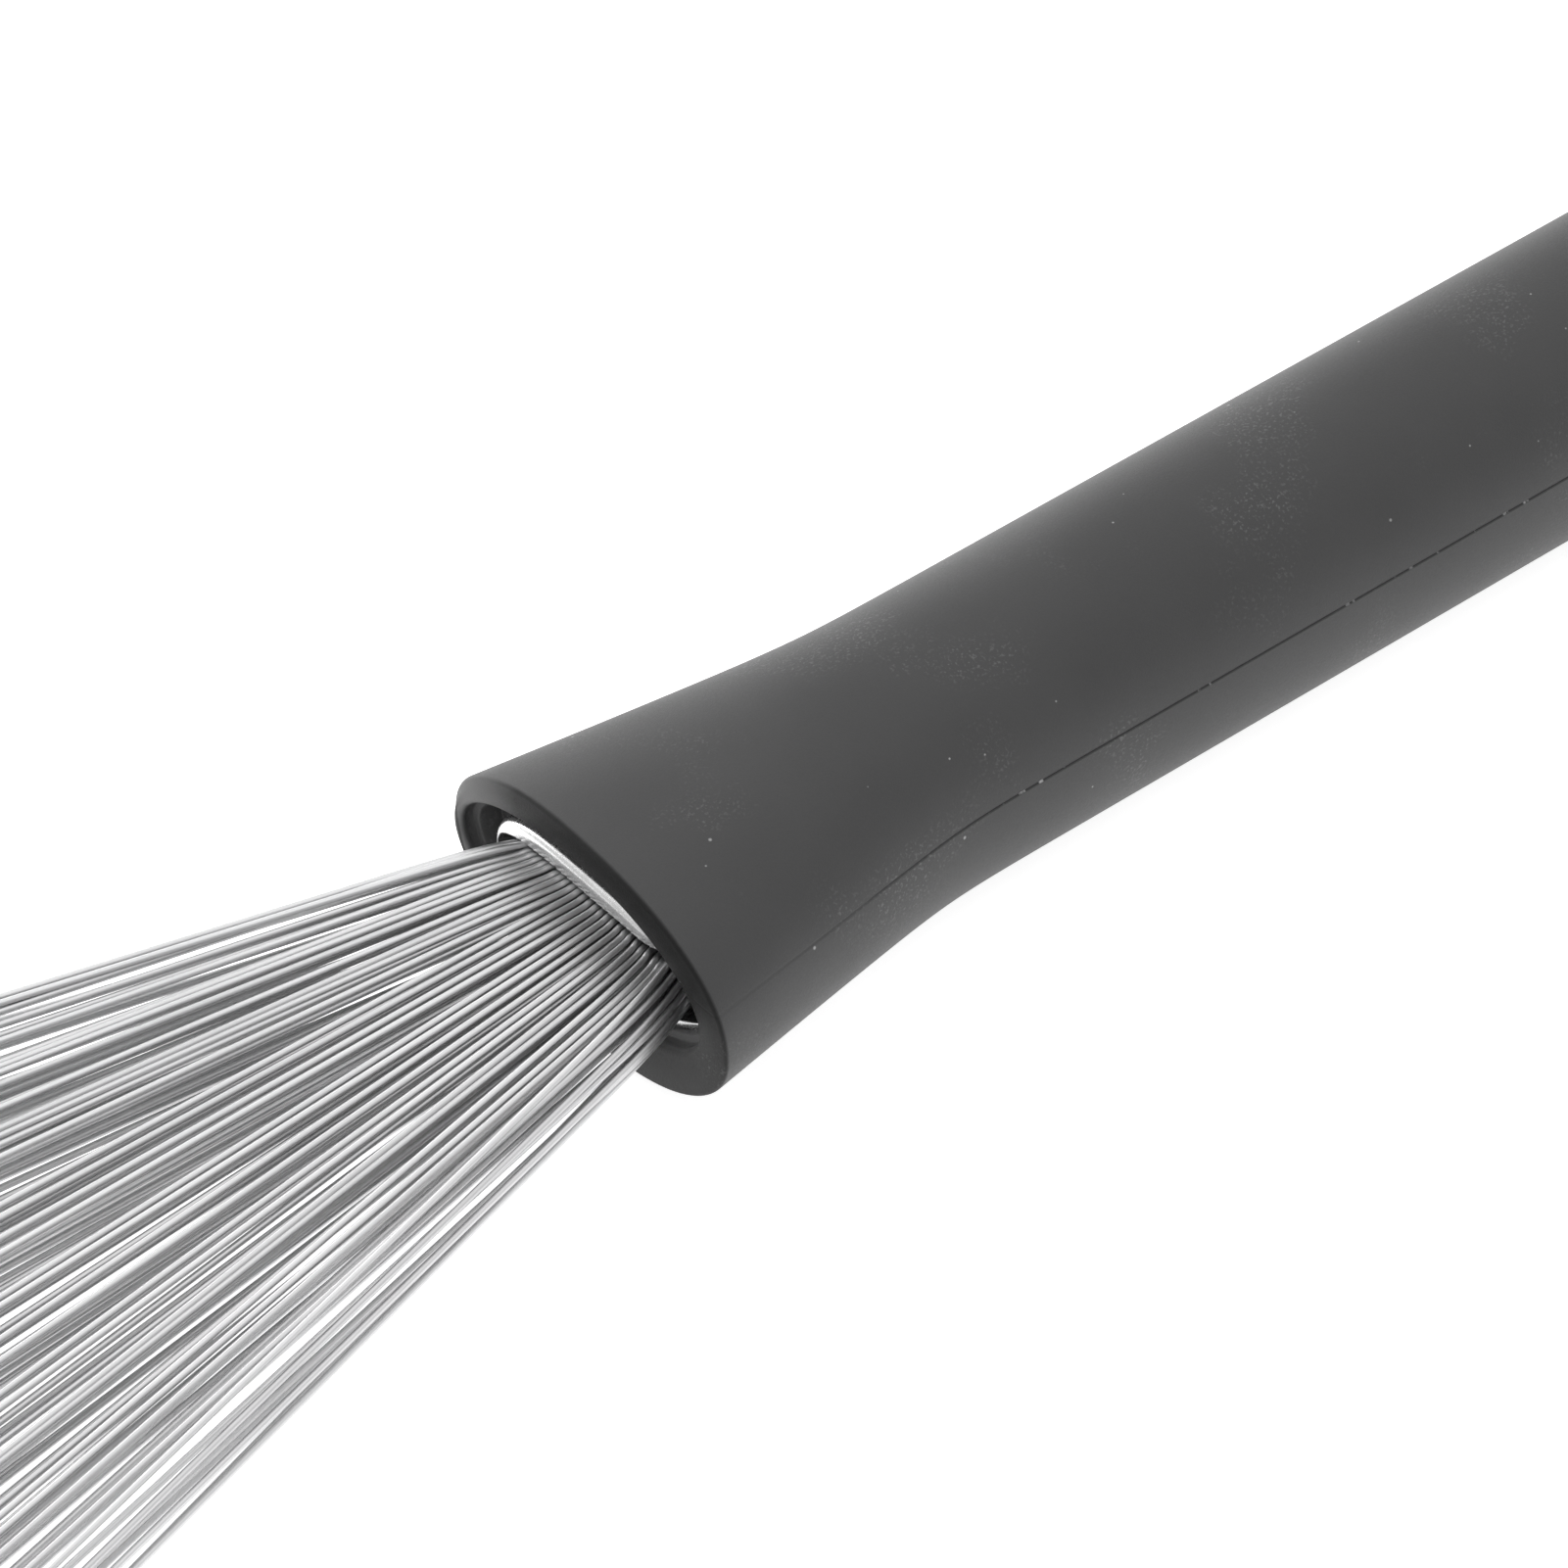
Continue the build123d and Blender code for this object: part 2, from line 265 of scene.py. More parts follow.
# ---------------------------------------------------------------- materials
class Paint:
    """A node material under construction. Sizes of grain and marks are given in millimetres."""

    def __init__(self, name, colour, roughness, metallic=0.0, **constants):
        self.material = bpy.data.materials.new(name)
        self.material.use_nodes = True
        self.tree = self.material.node_tree
        self.shader = self.tree.nodes["Principled BSDF"]
        self.shader.inputs["Base Color"].default_value = (*colour, 1)
        self.shader.inputs["Roughness"].default_value = roughness
        self.shader.inputs["Metallic"].default_value = metallic
        for socket, value in constants.items():
            self.shader.inputs[socket.replace("_", " ")].default_value = value
        self.position = self.node("ShaderNodeTexCoord").outputs["Object"]

    def node(self, kind, inputs=(), **settings):
        made = self.tree.nodes.new(kind)
        for key, value in settings.items():
            setattr(made, key, value)
        for socket, value in dict(inputs).items():
            if isinstance(value, bpy.types.NodeSocket):
                self.tree.links.new(value, made.inputs[socket])
            else:
                made.inputs[socket].default_value = value
        return made

    def link(self, socket, output):
        self.tree.links.new(output, self.shader.inputs[socket])

    def math(self, operation, a, b=0.0):
        return self.node("ShaderNodeMath", {0: a, 1: b}, operation=operation).outputs[0]

    def stretched(self, x, y, z):
        scale = self.node("ShaderNodeVectorMath", {0: self.position, 1: (x, y, z)}, operation="MULTIPLY")
        return scale.outputs[0]

    def around_axis(self):
        """A place that doesn't change round the handle axis: (x, distance from the axis, 0)."""
        parts = self.node("ShaderNodeSeparateXYZ", {0: self.position})
        flat = self.node("ShaderNodeCombineXYZ", {0: parts.outputs[1], 1: parts.outputs[2]})
        reach = self.node("ShaderNodeVectorMath", {0: flat.outputs[0]}, operation="LENGTH")
        return self.node("ShaderNodeCombineXYZ", {0: parts.outputs[0], 1: reach.outputs["Value"]}).outputs[0]

    def noise(self, size, detail=2.0, place=None, rough=0.5):
        place = self.position if place is None else place
        settings = {"Vector": place, "Scale": 1 / (size * MM), "Detail": detail, "Roughness": rough}
        return self.node("ShaderNodeTexNoise", settings).outputs["Fac"]

    def specks(self, spacing, size, share):
        """Sparse round dots: 1 inside a dot. share is the part of the cells that hold one."""
        cells = self.node("ShaderNodeTexVoronoi", {"Vector": self.position, "Scale": 1 / (spacing * MM)})
        near = self.remap(cells.outputs["Distance"], size / spacing, 0.4 * size / spacing, 0, 1)
        parts = self.node("ShaderNodeSeparateXYZ", {0: cells.outputs["Color"]})
        chosen = self.math("LESS_THAN", parts.outputs[0], share)
        return self.math("MULTIPLY", near, chosen)

    def remap(self, value, from_low, from_high, to_low, to_high):
        inputs = {0: value, 1: from_low, 2: from_high, 3: to_low, 4: to_high}
        return self.node("ShaderNodeMapRange", inputs, clamp=True).outputs[0]

    def mix(self, share, low, high):
        def colour(value):
            return value if isinstance(value, bpy.types.NodeSocket) else (*value, 1)
        inputs = {"Factor": share, 6: colour(low), 7: colour(high)}
        return self.node("ShaderNodeMix", inputs, data_type="RGBA").outputs[2]

    def bump(self, height, depth, strength=1.0):
        inputs = {"Height": height, "Distance": depth * MM, "Strength": strength}
        self.link("Normal", self.node("ShaderNodeBump", inputs).outputs[0])
        return self


def rubber(name, dark, light, roughness, grain):
    """Moulded rubber: soft blotches and a fine grain."""
    paint = Paint(name, light, roughness)
    blotches = paint.noise(6.0, detail=4)
    grains = paint.noise(grain, detail=3, rough=0.7)
    paint.link("Base Color", paint.mix(paint.remap(blotches, 0.35, 0.65, 0, 1), dark, light))
    paint.link("Roughness", paint.remap(grains, 0.3, 0.7, roughness - 0.06, roughness + 0.08))
    return paint.bump(grains, 0.012).material


def sleeve_rubber():
    """Matte black rubber: fine grain, scuffed patches, dust specks, painted shade along the mould-line
    groove with pale flash, and painted shade on the cut face at the mouth, with a painted light that grows
    towards its -Y end."""
    paint = Paint("sleeve_rubber", (0.04, 0.04, 0.04), 0.55)
    blotches = paint.noise(9.0, detail=4)
    base = paint.mix(paint.remap(blotches, 0.35, 0.65, 0, 1), (0.03, 0.03, 0.0305), (0.036, 0.036, 0.0365))

    parts = paint.node("ShaderNodeSeparateXYZ", {0: paint.position})
    # The cut face at the mouth: painted shade, near black, turning to a painted light, grey, towards its -Y
    # end.
    on_face = paint.remap(parts.outputs[0], (mouth_x - 0.3) * MM, (mouth_x - 0.15) * MM, 0, 1)
    painted_light_share = paint.remap(parts.outputs[1], -5.0 * MM, -9.0 * MM, 0, 1)
    face = paint.mix(painted_light_share, (0.011, 0.011, 0.011), (0.115, 0.115, 0.115))
    base = paint.mix(on_face, base, face)
    dull = paint.math("MULTIPLY", on_face, paint.math("SUBTRACT", 1.0, painted_light_share))
    paint.link("Specular IOR Level", paint.remap(dull, 0, 1, 0.5, 0.22))

    grains = paint.noise(0.10, detail=3, rough=0.75)
    patches = paint.remap(paint.noise(7.0, detail=3), 0.52, 0.66, 0, 1)
    flecks = paint.remap(paint.noise(0.16, detail=2), 0.56, 0.68, 0, 1)
    scuffs = paint.math("MULTIPLY", patches, flecks)
    base = paint.mix(paint.math("MULTIPLY", scuffs, 0.4), base, (0.16, 0.16, 0.16))

    dust = paint.math("MAXIMUM", paint.specks(0.9, 0.07, 0.09), paint.specks(1.7, 0.11, 0.07))
    base = paint.mix(paint.math("MULTIPLY", dust, 0.55), base, (0.5, 0.5, 0.5))

    # Painted shade along the mould-line groove, stronger towards the rear where the groove is deeper.
    turn = radians(parting_angle)
    off_line = paint.math(
        "ADD",
        paint.math("MULTIPLY", parts.outputs[1], -sin(turn)),
        paint.math("MULTIPLY", parts.outputs[2], cos(turn)),
    )
    half_width = parting_groove[0] * MM
    on_line = paint.remap(paint.math("ABSOLUTE", off_line), half_width, 0.4 * half_width, 0, 1)
    depth = paint.remap(parts.outputs[0], (mouth_x - flare_zone) * MM, mouth_x * MM, 0.8, 0.2)
    base = paint.mix(paint.math("MULTIPLY", on_line, depth), base, (0.012, 0.012, 0.012))
    along = paint.remap(paint.noise(0.55, detail=3, place=paint.stretched(1, 0.3, 0.3)), 0.61, 0.68, 0, 1)
    runs = paint.remap(paint.noise(14.0, detail=1, place=paint.stretched(1, 0.1, 0.1)), 0.47, 0.55, 0, 1)
    flash = paint.math("MULTIPLY", paint.math("MULTIPLY", along, runs), on_line)
    base = paint.mix(paint.math("MULTIPLY", flash, 0.8), base, (0.62, 0.62, 0.62))
    paint.link("Base Color", base)
    paint.link("Roughness", paint.remap(grains, 0.3, 0.7, 0.46, 0.58))
    return paint.bump(grains, 0.014).material


def drawn_metal(name, dark, light, roughness, line=0.08, tarnish_size=6.0, place=None):
    """Drawn metal: long fine lines, and each wire a little different. place is the attribute that holds
    every point's place in the straight wire; without it the metal is drawn along X."""
    paint = Paint(name, light, roughness, metallic=1.0)
    if place:
        paint.position = paint.node("ShaderNodeAttribute", attribute_name=place).outputs["Vector"]
    lines = paint.noise(line, detail=2, place=paint.stretched(0.01, 1, 1))
    tarnish = paint.noise(tarnish_size, detail=3)
    each = paint.node("ShaderNodeNewGeometry").outputs["Random Per Island"]
    share = paint.math("ADD", paint.math("MULTIPLY", each, 0.65), paint.math("MULTIPLY", tarnish, 0.35))
    paint.link("Base Color", paint.mix(share, dark, light))
    paint.link("Roughness", paint.remap(lines, 0.3, 0.7, roughness - 0.04, roughness + 0.08))
    return paint.bump(lines, 0.002).material


def turned_metal(name, dark, light, roughness, groove=0.06):
    """Metal turned on a lathe: fine rings, with a little dulling."""
    paint = Paint(name, light, roughness, metallic=1.0)
    rings = paint.noise(groove, detail=2, place=paint.around_axis())
    tarnish = paint.noise(3.0, detail=4)
    paint.link("Base Color", paint.mix(paint.remap(tarnish, 0.3, 0.7, 0, 1), dark, light))
    paint.link("Roughness", paint.remap(rings, 0.3, 0.7, roughness - 0.05, roughness + 0.12))
    return paint.bump(rings, 0.006).material


def moulded_plastic(name, dark, light, roughness):
    """Moulded plastic: clouded colour, fine grain and long scratches."""
    paint = Paint(name, light, roughness, Coat_Weight=0.05)
    cloud = paint.noise(4.0, detail=4)
    grains = paint.noise(0.25, detail=3)
    scratches = paint.noise(0.12, detail=2, place=paint.stretched(0.08, 1, 1))
    paint.link("Base Color", paint.mix(paint.remap(cloud, 0.35, 0.65, 0, 1), dark, light))
    paint.link("Roughness", paint.remap(scratches, 0.35, 0.7, roughness - 0.05, roughness + 0.12))
    return paint.bump(grains, 0.01).material


brass_dark, brass_light = (0.58, 0.44, 0.2), (0.72, 0.57, 0.3)
paints = {
    "sleeve_rubber": sleeve_rubber(),
    "tube_metal": drawn_metal(
        "tube_metal", (0.6, 0.6, 0.6), (0.96, 0.96, 0.96), 0.22, line=0.15, tarnish_size=1.5),
    "bush_plastic": moulded_plastic("bush_plastic", (0.66, 0.64, 0.58), (0.76, 0.74, 0.68), 0.45),
    "seal_rubber": rubber("seal_rubber", (0.022, 0.022, 0.022), (0.03, 0.03, 0.03), 0.42, grain=0.15),
    "bumper_rubber": rubber("bumper_rubber", (0.03, 0.03, 0.03), (0.04, 0.04, 0.04), 0.6, grain=0.12),
    "washer_steel": turned_metal("washer_steel", (0.5, 0.5, 0.52), (0.62, 0.62, 0.64), 0.28),
    "cap_metal": turned_metal("cap_metal", (0.56, 0.56, 0.57), (0.66, 0.66, 0.67), 0.3),
    "wire_steel": drawn_metal(
        "wire_steel", (0.54, 0.54, 0.545), (0.66, 0.66, 0.665), 0.42, place=DRAWN_PLACE),
    "ferrule_brass": turned_metal("ferrule_brass", brass_dark, brass_light, 0.32),
    "insert_brass": turned_metal("insert_brass", brass_dark, brass_light, 0.3),
    "piston_plastic": moulded_plastic("piston_plastic", (0.018, 0.018, 0.02), (0.028, 0.028, 0.03), 0.4),
    "rod_steel": turned_metal("rod_steel", (0.58, 0.58, 0.6), (0.68, 0.68, 0.7), 0.2, groove=0.04),
    "knob_plastic": moulded_plastic("knob_plastic", (0.016, 0.016, 0.017), (0.024, 0.024, 0.025), 0.38),
}

node_slots = {
    "rear_bush": "bush_plastic",
    "rod_seal": "seal_rubber",
    "seal_washer": "washer_steel",
    "wire_ferrule": "ferrule_brass",
    "root_disc": "ferrule_brass",
    "piston": "piston_plastic",
    "piston_ring_front": "seal_rubber",
    "piston_ring_rear": "seal_rubber",
    "lock_washer": "washer_steel",
    "lock_nut": "washer_steel",
    "retract_bumper": "bumper_rubber",
    "pull_rod": "rod_steel",
    "knob_insert": "insert_brass",
}
for node, slot_name in node_slots.items():
    node_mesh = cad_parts[node].data
    node_mesh.materials.clear()
    node_mesh.materials.append(paints[slot_name])


# ---------------------------------------------------------------- sleeve and tube
def softplus(value):
    return log(1 + exp(value))


def sleeve_size(x):
    """Half width, heights, powers and shift of the sleeve's outside at x: straight sides, a soft start."""
    at_mouth = softplus(flare_length / flare_blend)
    share = softplus((flare_length - (mouth_x - x)) / flare_blend) / at_mouth
    half_width = grip_radius + (mouth_half_width - grip_radius) * share
    heights = [grip_radius + (height - grip_radius) * share for height in mouth_heights]
    powers = [2 + (power - 2) * share for power in mouth_powers]
    return half_width, heights, powers, mouth_shift * share


def flat_share(x):
    """0 where the tube is round, 1 where it is fully flattened."""
    return smooth((x - grip_front_x) / (flare_zone - tube_flat_run))


def tube_size(x, inset=0.0):
    """Half width, heights, powers and shift of the tube at x."""
    share = flat_share(x)
    radius = tube_radius - inset
    half_width = radius + (tube_flat_half_width - inset - radius) * share
    half_height = radius + (tube_flat_half_height - inset - radius) * share
    power = 2 + (tube_flat_power - 2) * share
    return half_width, (half_height, half_height), (power, power), 0


def tilt_tube(points):
    """Leans the flattened end of the tube, and the opening and bore around it, up towards +Y."""
    for point in points:
        lean = tube_tilt * flat_share(point.x)
        point.y, point.z = point.y - lean * point.z, point.z + lean * point.y


def span(start, end, step):
    """Even places from start to end, both included, about step apart."""
    count = max(1, round(abs(end - start) / step))
    return [start + (end - start) * index / count for index in range(count + 1)]


def sleeve_angles():
    """Even angles, with close pairs beside the two parting lines so that the groove stays narrow."""
    angles = set(even_angles(sleeve_points))
    turns = [radians(parting_angle), radians(parting_angle) + pi]
    half = parting_groove[0] / grip_radius
    for turn in turns:
        angles = {angle for angle in angles if abs(angle - turn) > 2.4 * half}
        angles |= {turn + share * half for share in (-2.2, -1.1, -1, -0.5, 0, 0.5, 1, 1.1, 2.2)}
    return sorted(angles), turns, half


def make_sleeve():
    """The whole sleeve as one closed skin: outside, lip, crowned face, stepped recess and bore."""
    angles, turns, half = sleeve_angles()
    bore_gap = 0.02             # between the bore and the tube
    face_steps = 8
    grip_step, flare_step, recess_step = 3, 0.6, 1.5
    lip_base_x = mouth_x - lip_crown
    quarter = [radians(15 * step) for step in range(7)]
    sections = []               # x, size as in sleeve_size, share of the groove's depth

    def add(x, size, inset=0.0, grooved=0.0):
        half_width, heights, powers, shift = size
        size = (half_width - inset, [height - inset for height in heights], powers, shift)
        sections.append((x, size, grooved))

    round_grip = (grip_radius, (grip_radius, grip_radius), (2, 2), 0)
    bore = (tube_radius, (tube_radius, tube_radius), (2, 2), 0)
    add(rear_x, bore, -bore_gap)
    for turn in quarter:
        x = rear_x + rear_edge_radius * (1 - cos(turn))
        add(x, round_grip, rear_edge_radius * (1 - sin(turn)), grooved=sin(turn))
    grip_stations = span(rear_x + 2, grip_front_x - 6, grip_step)
    flare_stations = span(grip_front_x - 5, lip_base_x - 2 * lip_radius, flare_step)
    for x in grip_stations + flare_stations:
        fade = smooth((mouth_x - x) / flare_zone)
        add(x, sleeve_size(x), grooved=parting_lip_share + (1 - parting_lip_share) * fade)
    for turn in quarter:
        x = lip_base_x - lip_radius * (1 - sin(turn))
        add(x, sleeve_size(x), lip_radius * (1 - cos(turn)), grooved=parting_lip_share)
    lip_start = oval_ring(lip_base_x, *sections[-1][1], angles)
    walls = [(half_width, (height, height), (2, 2), recess_shift) for _, half_width, height in recess_steps]
    opening = walls[0]
    face_start = len(sections)
    for turn in quarter:
        x = lip_base_x - opening_edge_radius * (1 - cos(turn))
        add(x, opening, -opening_edge_radius * (1 - sin(turn)))
    for index, (wall, (depth, _, _)) in enumerate(zip(walls, recess_steps)):
        if index:
            add(mouth_x - recess_steps[index - 1][0], wall, -recess_corner)
            add(mouth_x - recess_steps[index - 1][0] - recess_corner, wall)
        add(mouth_x - depth + recess_corner, wall)
        add(mouth_x - depth, wall, recess_corner)
    floor_x = mouth_x - recess_steps[-1][0]
    for x in span(floor_x, grip_front_x, recess_step):
        add(x, tube_size(x), -bore_gap)

    def groove(angle):
        return max(0.0, 1 - min(abs(angle - turn) for turn in turns) / half) * parting_groove[1]

    rings = []
    for x, size, grooved in sections:
        ring = oval_ring(x, *size, angles)
        for angle, point in zip(angles, ring):
            depth = groove(angle)
            point.y -= depth * grooved * cos(angle)
            point.z -= depth * grooved * sin(angle)
        rings.append(ring)
    for ring in rings[face_start:]:
        tilt_tube(ring)
    lip_end, face = rings[face_start], []
    for step in range(1, face_steps):
        share = step / face_steps
        ring = [start.lerp(end, share) for start, end in zip(lip_start, lip_end)]
        for angle, point in zip(angles, ring):
            point.x += lip_crown * sin(pi * share) - groove(angle) * parting_lip_share * (1 - share)
        face.append(ring)
    rings[face_start:face_start] = face
    points = [point for ring in rings for point in ring]
    return mesh_from("sleeve", points, skin(rings, closed=True))


def make_tube():
    """A thin tube, flattened at the mouth, with a rounded rim that is thicker on its upper side."""
    angles = even_angles(tube_points)
    quarter = [radians(18 * step) for step in range(6)]
    grip_step, flare_step, rim_start = 15, 0.5, 0.6
    stations = [rear_x] + span(rear_x + 5, grip_front_x - 5, grip_step)
    stations += span(grip_front_x, tube_front_x - rim_start, flare_step)
    sections = [(x, 0.0) for x in stations]
    for turn in quarter:
        x = tube_front_x - tube_rim_outer_radius * (1 - sin(turn))
        sections.append((x, tube_rim_outer_radius * (1 - cos(turn))))
    for turn in reversed(quarter):
        x = tube_front_x - tube_rim_inner_radius * (1 - sin(turn))
        sections.append((x, tube_wall - tube_rim_inner_radius * (1 - cos(turn))))
    sections += [(x, tube_wall) for x in reversed(stations)]
    rings = [oval_ring(x, *tube_size(x, inset), angles) for x, inset in sections]
    points = [point for ring in rings for point in ring]
    for ring, (_, inset) in zip(rings, sections):
        for point in ring:
            near_end = smooth((point.x - tube_front_x) / tube_bead_run + 1)
            upwards = max(0.0, point.z / (tube_flat_half_height - inset))
            across = point.y / (tube_flat_half_width - inset)
            inner = near_end * inset / tube_wall
            point.z -= inner * tube_rim_bead * upwards * (1 - max(0.0, across))
            point.y += inner * tube_rim_thinning * across**5
            point.x -= near_end * tube_end_slant * smooth(2 * across - 1)
    tilt_tube(points)
    return mesh_from("flattened_tube", points, skin(rings, closed=True))


# ---------------------------------------------------------------- wires
def opened(share):
    """Where in the fan a wire's tip goes: wires beside a parting are pushed away from it."""
    for centre, half_opening, reach in partings:
        off = share - centre
        side = 1 if off > 0 else -1
        share += side * half_opening * exp(-((off / reach) ** 2))
    return share


def wire_stations(tip_x):
    """Places along a wire, close together near the tube's end where it turns most."""
    before = [wire_root_x, ferrule_front_x] + span(ferrule_front_x + 3, tube_front_x - 4.5, 3)
    steps = (-3, -2.2, -1.6, -1.1, -0.7, -0.3, 0, 0.15, 0.3, 0.5, 0.8, 1.2, 1.8, 2.6, 4)
    near = [tube_front_x + step for step in steps]
    beyond = [near[-1] + step for step in (2.5, 6, 10.5, 16, 23)]
    return before + near + beyond + span(beyond[-1] + 8, tip_x, 9)


def wire_line(root, share, height, tip, rise, bow, phase):
    """The centre line of one wire from its root (y, z) to its tip (x, y, z). Share is its place across the
    fan and height its height, both at the tube's end."""
    inside = tube_front_x - ferrule_front_x
    reach = tip[0] - tube_front_x
    mouth_y, straight_y = share * mouth_half_spread, share * fan_half_width
    slope = (tip[1] - straight_y) / reach
    slope_at_mouth = slope + (straight_y - mouth_y) / spread_run
    line = []
    for x in wire_stations(tip[0]):
        if x < tube_front_x:
            t = min(max((x - ferrule_front_x) / inside, 0.0), 1.0)
            y = root[0] + (mouth_y - root[0]) * smooth(t) + slope_at_mouth * inside * (t**3 - t**2)
            z = root[1] + (height - rise - root[1]) * smooth(t)
            z += rise * smooth((x - tube_front_x + mouth_rise_run) / mouth_rise_run)
        else:
            out = x - tube_front_x
            s = out / reach
            wave = wire_wave * s * sin(2 * pi * out / wire_wave_length + phase)
            y = straight_y + slope * out - (straight_y - mouth_y) * exp(-out / spread_run)
            y += bow * (s * s - s) + wave
            z = height + (tip[2] - height) * s
            z -= mouth_dip * (rise / mouth_rise) * (1 - exp(-out / mouth_dip_run)) * (1 - s)
        line.append(Vector((x, y, z)))
    return line


def wire_skin(line, offset):
    """Points and faces of a round wire along a line, with softened, closed ends, and each point's place in
    the same wire drawn straight: along it and across it."""
    end_round, end_share = 0.06, 0.6
    ahead = [(line[min(i + 1, len(line) - 1)] - line[max(i - 1, 0)]).normalized() for i in range(len(line))]
    places = list(zip(line, ahead, [1] * len(line)))
    places[0] = (line[0] + ahead[0] * end_round, ahead[0], 1)
    places[-1] = (line[-1] - ahead[-1] * end_round, ahead[-1], 1)
    places.insert(0, (line[0], ahead[0], end_share))
    places.append((line[-1], ahead[-1], end_share))
    rings, drawn = [], []
    length = 0.0
    for index, (centre, along, share) in enumerate(places):
        side = Vector((0, 0, 1)).cross(along).normalized()
        up = along.cross(side)
        length += (centre - places[max(index - 1, 0)][0]).length
        ring = []
        for angle in even_angles(wire_sides):
            across = Vector((0, cos(angle), sin(angle))) * wire_radius * share
            ring.append(centre + side * across.y + up * across.z)
            drawn.append((Vector((length, 0, 0)) + across) * MM)
        rings.append(ring)
    points = [point for ring in rings for point in ring]
    faces = skin(rings, closed=False, offset=offset)
    faces.append(tuple(range(offset + wire_sides - 1, offset - 1, -1)))
    last = offset + len(points) - wire_sides
    faces.append(tuple(range(last, last + wire_sides)))
    return points, faces, drawn


def make_wire_mesh(name, wires):
    """One mesh of many wires, each an island of its own, with every point's place in the straight wire."""
    points, faces, drawn = [], [], []
    for wire in wires:
        more_points, more_faces, more_drawn = wire_skin(wire_line(**wire), len(points))
        points += more_points
        faces += more_faces
        drawn += more_drawn
    mesh = mesh_from(name, points, faces)
    attribute = mesh.attributes.new(DRAWN_PLACE, "FLOAT_VECTOR", "POINT")
    attribute.data.foreach_set("vector", [value for place in drawn for value in place])
    return mesh


def root_place(column, level):
    """Where in the ferrule (y, z) the wire of this column and level is held."""
    return (
        (column - (wire_columns - 1) / 2) * root_pitch,
        (level - (wire_levels - 1) / 2) * root_pitch,
    )


def oval_height(share):
    """How much of the tube's inner height is left at this share of the mouth's half spread."""
    spread_share, power = 0.95, 3
    return (1 - (abs(share) * spread_share) ** power) ** (1 / power)


def leaning(height, share):
    """The height at this share of the mouth's width, in the tube's leaning end."""
    return height + tube_tilt * share * mouth_half_spread


def tip_place(share, height, chance):
    """The place of a tip (x, y, z), cut a little shorter than the longest wire."""
    x = wire_tip_x - chance.uniform(0, tip_cut)
    return x, share * (fan_half_width + (x - tube_front_x) * tan(radians(fan_half_angle))), height


def layer_of_wires(node, first_level, chance):
    """The wires of a layer, in rows across the tube's mouth and held at the root in a few levels."""
    wires = []
    for count, height, lowest_tip, highest_tip in wire_rows[node]:
        for index in range(count):
            share = (2 * (index + 0.5) / count - 1) * row_half_share
            tip_share = opened(share + chance.gauss(0, parting_scatter)) + chance.gauss(0, tip_scatter)
            wires.append({
                "share": share + chance.gauss(0, row_scatter),
                "height": leaning(height * oval_height(share) + chance.uniform(*row_sag), share),
                "tip": tip_place(row_spread * tip_share, chance.uniform(lowest_tip, highest_tip), chance),
                "rise": mouth_rise if height > lifted_row_height else 0.0,
                "bow": chance.uniform(-wire_bow, wire_bow),
                "phase": chance.uniform(0, 2 * pi),
            })
    wires.sort(key=lambda wire: wire["share"])
    for index, wire in enumerate(wires):
        wire["root"] = root_place(1 + index // levels_in_layer, first_level + index % levels_in_layer)
    return wires


def edge_of_wires(side, column, chance):
    """Wires that line the tube's side, one above the other."""
    wires = []
    for level in range(wire_levels):
        turn = radians(edge_turn) * (2 * level / (wire_levels - 1) - 1)
        share = side * (1 - edge_radius * (1 - cos(turn)) / mouth_half_spread)
        height = edge_radius * sin(turn)
        tip_share = 1 - edge_tip_spread * (edge_step * level % wire_levels) / (wire_levels - 1)
        tip_height = edge_tip_height * height + chance.uniform(-edge_tip_scatter, edge_tip_scatter)
        wires.append({
            "root": root_place(column, level),
            "share": share,
            "height": leaning(height, share),
            "tip": tip_place(side * tip_share, tip_height, chance),
            "rise": 0.0,
            "bow": side * chance.uniform(0, edge_bow),
            "phase": chance.uniform(0, 2 * pi),
        })
    return wires


# ---------------------------------------------------------------- turned pieces at the rear
def make_end_cap():
    """The cap on the sleeve's rear end, with its spigot inside the tube."""
    low, high = (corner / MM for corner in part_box("end_cap"))
    spigot_radius, bore_radius = tube_radius - tube_wall, 2.0
    profile = [
        (low.x, bore_radius), (low.x, high.z), (rear_x, high.z),
        (rear_x, spigot_radius), (high.x, spigot_radius), (high.x, bore_radius),
    ]
    return lathe("turned_cap", rounded(profile, (0.25, 0.8, 0.15, 0.1, 0.4, 0.2)), segments=128)


def make_knob_bumper():
    """The soft washer between the knob and the cap."""
    low, high = (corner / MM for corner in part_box("knob_bumper"))
    profile = [(low.x, rod_radius), (low.x, high.z), (high.x, high.z), (high.x, rod_radius)]
    return lathe("stop_washer", rounded(profile, (0.15, 0.45, 0.45, 0.15)), segments=96)


